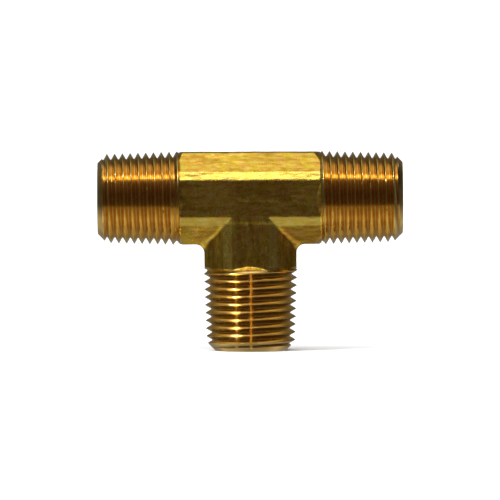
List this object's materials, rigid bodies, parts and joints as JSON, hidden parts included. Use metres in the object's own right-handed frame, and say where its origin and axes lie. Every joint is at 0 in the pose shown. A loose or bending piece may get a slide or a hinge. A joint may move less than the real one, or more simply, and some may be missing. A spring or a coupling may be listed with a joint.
{
  "type": "male pipe tee",
  "caption": "Forged brass male pipe tee: an octagonal T-shaped body with taper-threaded pipe ends, bored through to join lines of pipe.",
  "frame": {"origin": "the point where the run bore and the branch bore cross", "axes": "+X along the run towards the right end in the picture, -Z along the branch towards its open end, +Y from the front of the octagonal body to its back, so the front in the picture faces -Y"},
  "size_m": [0.0712, 0.0219, 0.0466],
  "materials": {
    "forged_brass": "as forged: mottled, slightly rough yellow brass with a trimmed parting line",
    "cut_brass": "turned and threaded, bright with fine tool marks"
  },
  "bodies": {
    "root": {"forged_body": "forged_brass", "run_thread_right": "cut_brass", "run_thread_left": "cut_brass", "branch_thread": "cut_brass"}
  },
  "joints": []
}
